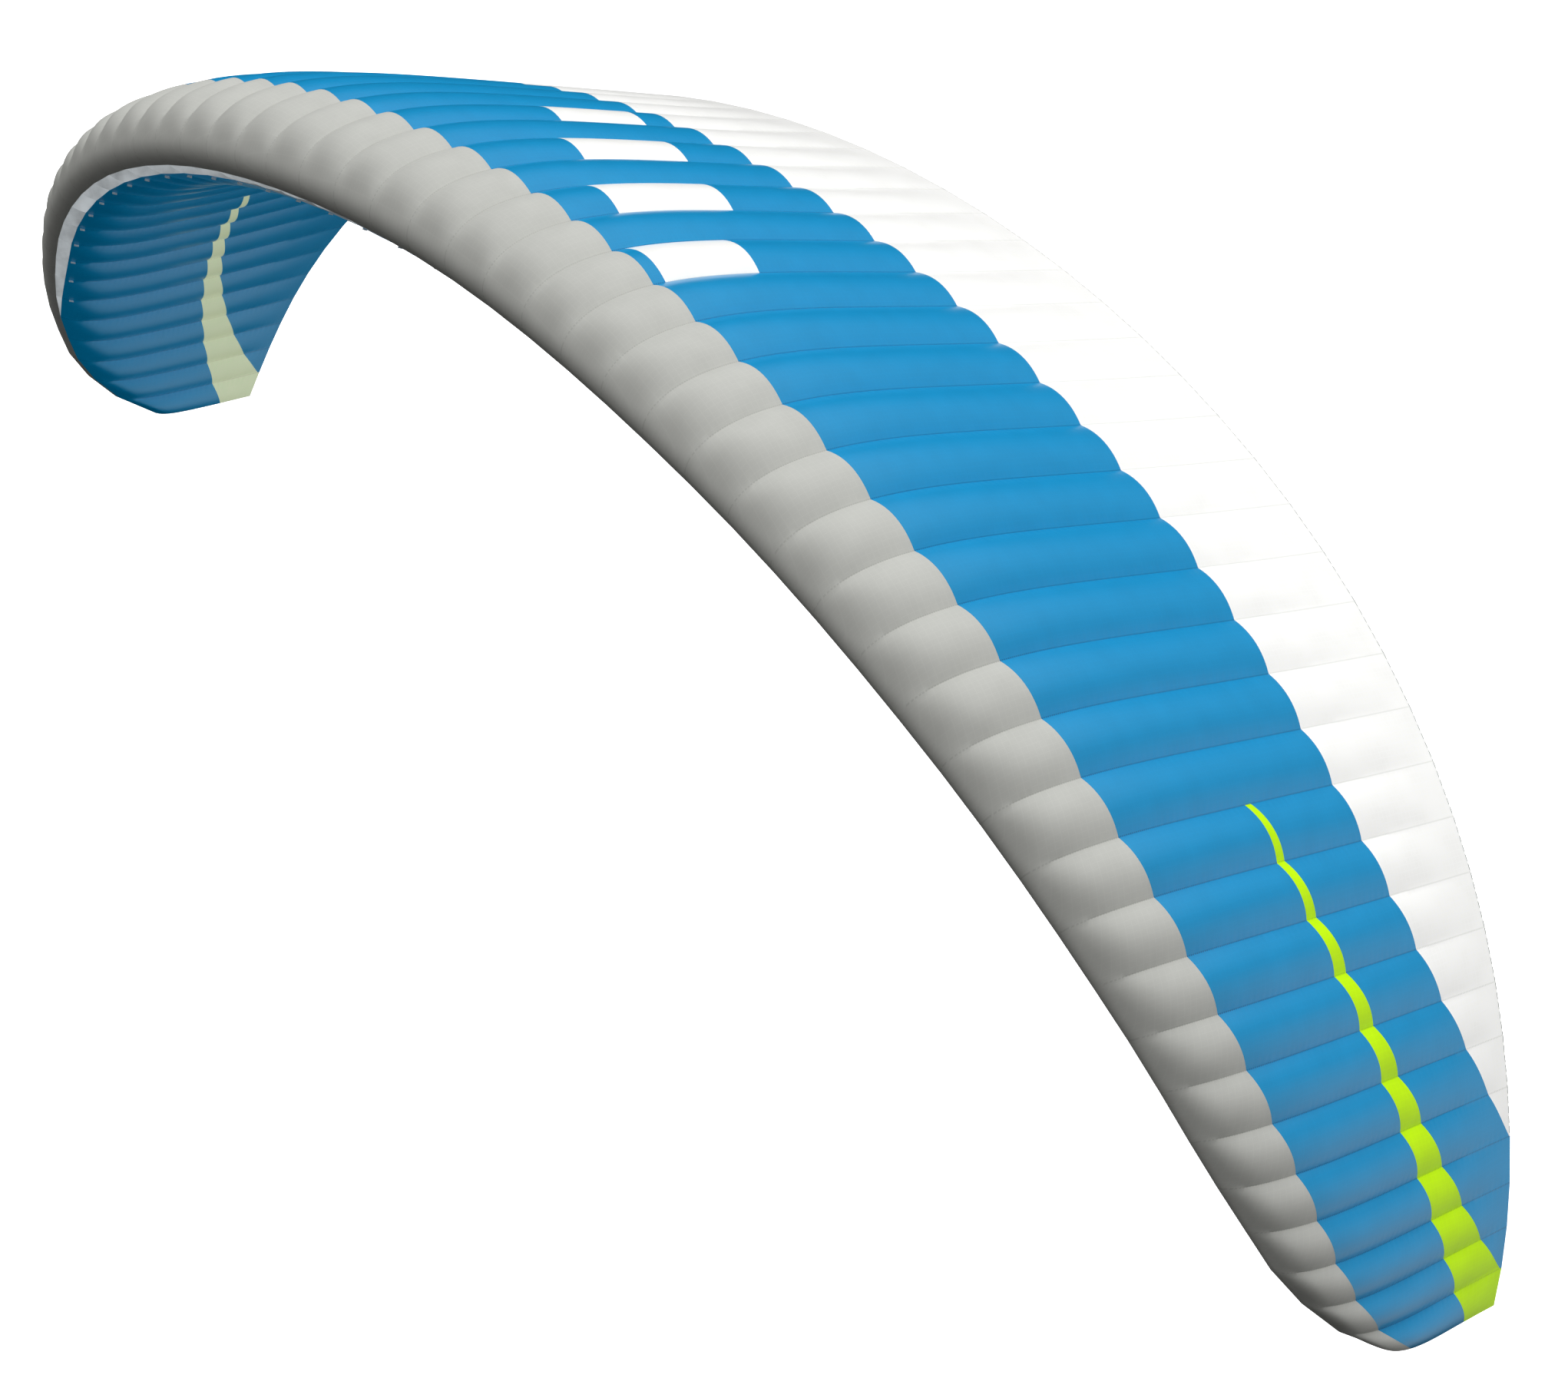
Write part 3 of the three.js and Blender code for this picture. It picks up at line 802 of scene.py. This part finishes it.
# %% Sizes of a rib
NOSE_PLACES = (0.0025, 0.01, 0.02, 0.035, 0.055, 0.08)  # along the chord
BAY_PLACES = (0.08, 0.19, 0.31, 0.44, 0.57, 0.70)
TAIL_PLACES = (0.70, 0.80, 0.90, 0.985)
PORT_WIDTH, PORT_HEIGHT = 0.33, 0.27  # half sizes, as shares of the bay's length and height
SIDE_STEPS, LONG_STEPS = 4, 8  # facets on a bay's upright and long edges
HEIGHTS = np.linspace(0, 1, SIDE_STEPS + 1)  # from the underside to the top
RIB_CLOTH = 0.0008
TIP_WALLS = (0, CELLS)  # the two outermost ribs hold the air in, so they are blue and have no ports
PATTERN_SHIFT = 7  # metres of the pattern from one rib to the next, so that no two look alike
NO_SEAM = 1.0  # a distance from any seam at which none shows
print("ports in a rib:", len(BAY_PLACES) - 1)


# %% Rib sheets
def bay_and_port(wall, start, end):
    """The points round a bay, and for each of them a point on the rim of the bay's port."""
    long_way = np.linspace(start, end, LONG_STEPS + 1)
    rim = [wall(place, 0) for place in long_way[:-1]] + [wall(end, height) for height in HEIGHTS[:-1]]
    rim += [wall(place, 1) for place in long_way[:0:-1]] + [wall(start, height) for height in HEIGHTS[:0:-1]]
    halfway = (start + end) / 2
    centre = (wall(start, 0.5) + wall(end, 0.5)) / 2
    back = wall(end, 0.5) - wall(start, 0.5)
    up = wall(halfway, 1) - wall(halfway, 0)
    port = []
    for point in rim:
        x = np.dot(point - centre, back) / np.dot(back, back)
        y = np.dot(point - centre, up) / np.dot(up, up)
        reach = math.hypot(x / PORT_WIDTH, y / PORT_HEIGHT)
        port.append(centre + (x * back + y * up) / reach)
    return rim, port


def rib_sheet(rib):
    """The points and faces of a rib, in space, with its plane."""
    plane = Ribs([rib])
    plane.nose = plane.nose - HANG_POINT
    numbers, points, faces = {}, [], []

    def wall(place, height):
        """A point of the wall: height runs from 0 on the underside to 1 on the top."""
        q = np.array([[-math.sqrt(place), math.sqrt(place)]])
        low, high = (plane.outline(q) - RIB_INSET * plane.normal(q))[0]
        return low + (high - low) * height

    def number(point):
        """The number of a point, which is the same for all the faces that meet there."""
        key = tuple(np.round(point, 5))
        if key not in numbers:
            numbers[key] = len(points)
            points.append(point)
        return numbers[key]

    def add_face(*corners):
        faces.append([number(point) for point in corners])

    for start, end in (*zip(NOSE_PLACES, NOSE_PLACES[1:]), *zip(TAIL_PLACES, TAIL_PLACES[1:])):
        for low, high in zip(HEIGHTS, HEIGHTS[1:]):
            add_face(wall(start, low), wall(end, low), wall(end, high), wall(start, high))
    for low, high in zip(HEIGHTS, HEIGHTS[1:]):
        add_face(wall(0.0, 0.5), wall(NOSE_PLACES[0], low), wall(NOSE_PLACES[0], high))
    for start, end in zip(BAY_PLACES, BAY_PLACES[1:]):
        rim, port = bay_and_port(wall, start, end)
        for i in range(len(rim)):
            j = (i + 1) % len(rim)
            add_face(rim[i], rim[j], port[j], port[i])
        if rib in TIP_WALLS:
            add_face(*port)
    return points, faces, plane


# %% All the ribs
for rib, node in enumerate(RIB_NODES):
    points, faces, plane = rib_sheet(rib)
    flat = np.array(points)
    up = PATTERN_SHIFT * rib + np.dot(flat - plane.nose[0], plane.up[0])
    to_edge = plane.nose[0, 1] + plane.chord[0] - flat[:, 1]
    corners = [number for face in faces for number in face]
    uv_maps = {"Cloth": np.stack([up, to_edge], -1)[corners], "Seams": np.full((len(corners), 2), NO_SEAM)}
    piece = new_sheet(f"rib_cloth_{rib:02d}", points, faces, uv_maps)
    at_tip = rib in TIP_WALLS
    piece.data.materials.append(shaded_blue_nylon if at_tip else rib_nylon)
    slot = "underside_cloth" if at_tip else "rib_cloth"
    finish_cloth(piece, area_of(piece), [node], slot, thickness=RIB_CLOTH, offset=0)
    piece["flat"] = (float(plane.chord[0]), float(np.ptp(up)))

# %% [markdown]
# ## Line tabs
# The lines of a paraglider are looped to small tabs of white tape, sewn into the underside's seams. One
# tab is modelled as a flattened ring of tape, and the others are copies of it, one to a rib. The tape is
# woven from polyester yarn: matt and bright, with a fine rib across it.

# %% Woven tape
TAPE_RIB_SCALE = 300.0  # of the wave texture in metres: one rib of the weave for each millimetre
TAPE_RELIEF = 0.001

tape_values = {"Base Color": srgb("F2F2EF"), "Roughness": 0.8}
tape, tree, shader = start_material("white woven polyester tape", tape_values)
place = add_node(tree, "ShaderNodeTexCoord").outputs["Object"]
waves = {"Vector": place, "Scale": TAPE_RIB_SCALE, "Distortion": 1.0}
woven = add_node(tree, "ShaderNodeTexWave", waves, bands_direction="Z").outputs["Fac"]
bump = add_node(tree, "ShaderNodeBump", {"Height": woven, "Strength": 0.3, "Distance": TAPE_RELIEF})
tree.links.new(bump.outputs[0], shader.inputs["Normal"])
print("tape nodes:", len(tree.nodes))

# %% One line tab
TAB_WIDTH, TAB_DROP = 0.030, 0.014
TAB_FLATNESS = 0.25  # how thick the ring is, beside how far it hangs
TAB_STEPS = 14  # facets round the ring
TAPE_THICKNESS = 0.0012

bpy.ops.object.select_all(action="DESELECT")
bpy.ops.mesh.primitive_circle_add(vertices=TAB_STEPS, radius=TAB_DROP / 2, rotation=(math.pi / 2, 0, 0))
model = bpy.context.object
bpy.ops.object.transform_apply(location=True, rotation=True, scale=True)
bpy.ops.object.mode_set(mode="EDIT")
bpy.ops.mesh.select_all(action="SELECT")
bpy.ops.transform.resize(value=(TAB_FLATNESS, 1, 1))
bpy.ops.transform.translate(value=(0, -TAB_WIDTH / 2, -TAB_DROP / 2))
bpy.ops.mesh.extrude_region_move(TRANSFORM_OT_translate={"value": (0, TAB_WIDTH, 0)})
bpy.ops.mesh.select_all(action="SELECT")
bpy.ops.mesh.normals_make_consistent(inside=False)
bpy.ops.object.mode_set(mode="OBJECT")
thick = model.modifiers.new("thickness", "SOLIDIFY")
thick.thickness = TAPE_THICKNESS
bpy.ops.object.modifier_apply(modifier=thick.name)
model.data.materials.append(tape)
print("faces of a tab:", len(model.data.polygons))

# %% A tab at each rib
FIRST_TAB_RIB = 6
TAB_GAP = 0.0008  # from the underside's cloth to a tab

q = np.full((CELLS + 1, 1), -math.sqrt(TABS))
tab_points, downwards = ribs.outline(q)[:, 0], ribs.normal(q)[:, 0]
copies = []
for rib in range(FIRST_TAB_RIB, CELLS - FIRST_TAB_RIB + 1):
    span, down = ribs.span[rib], downwards[rib]
    turn = Matrix((span, np.cross(-down, span), -down)).transposed().to_4x4()
    copy = bpy.data.objects.new(f"line_tab_{rib:02d}", model.data.copy())
    copy.data.transform(Matrix.Translation(Vector(tab_points[rib] + TAB_GAP * down)) @ turn)
    bpy.context.collection.objects.link(copy)
    copies.append(copy)
bpy.data.objects.remove(model)
bpy.ops.object.select_all(action="DESELECT")
for copy in copies:
    copy.select_set(True)
bpy.context.view_layer.objects.active = copies[0]
bpy.ops.object.join()
line_tabs = bpy.context.object
line_tabs.name = "line_tabs"
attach(line_tabs, "root")
print("tabs:", len(copies))

# %% [markdown]
# ## Cut sizes of the cloth
# Every sheet says the size that it was cut to. The skins are stretched over the ribs by the air, so their
# cut is as large as the swollen surface. A rib is flat, so its cut is its own length and height.

STRIPE_FILL = 0.6  # share of its rectangle that a stripe fills, since it narrows to a point


def declare_skin(piece, skin, zones):
    rows = [row for row, zone in enumerate(skin.zones) if zone in zones]
    net = skin.points[:, rows[0] : rows[-1] + 2]
    depth = np.linalg.norm(np.diff(net, axis=1), axis=-1).sum(1).max()
    area = piece["cloth_area"]
    if piece in stripes:
        span = area / depth / STRIPE_FILL
    else:
        span = np.linalg.norm(np.diff(net, axis=0), axis=-1).sum(0).max()
    print(f"{piece.name}: cut {span:.2f} x {depth:.2f} m, {area:.2f} m2")


declare_skin(nose_cloth, top, ["nose"])
declare_skin(main_cloth, top, ["front", "stripe", "middle", "rear"])
declare_skin(rear_cloth, top, ["rear"])
declare_skin(underside_cloth, underside, list(UNDERSIDE_STEPS))
for piece in stripes:
    skin = top if piece.name.startswith("top") else underside
    declare_skin(piece, skin, ["stripe"])
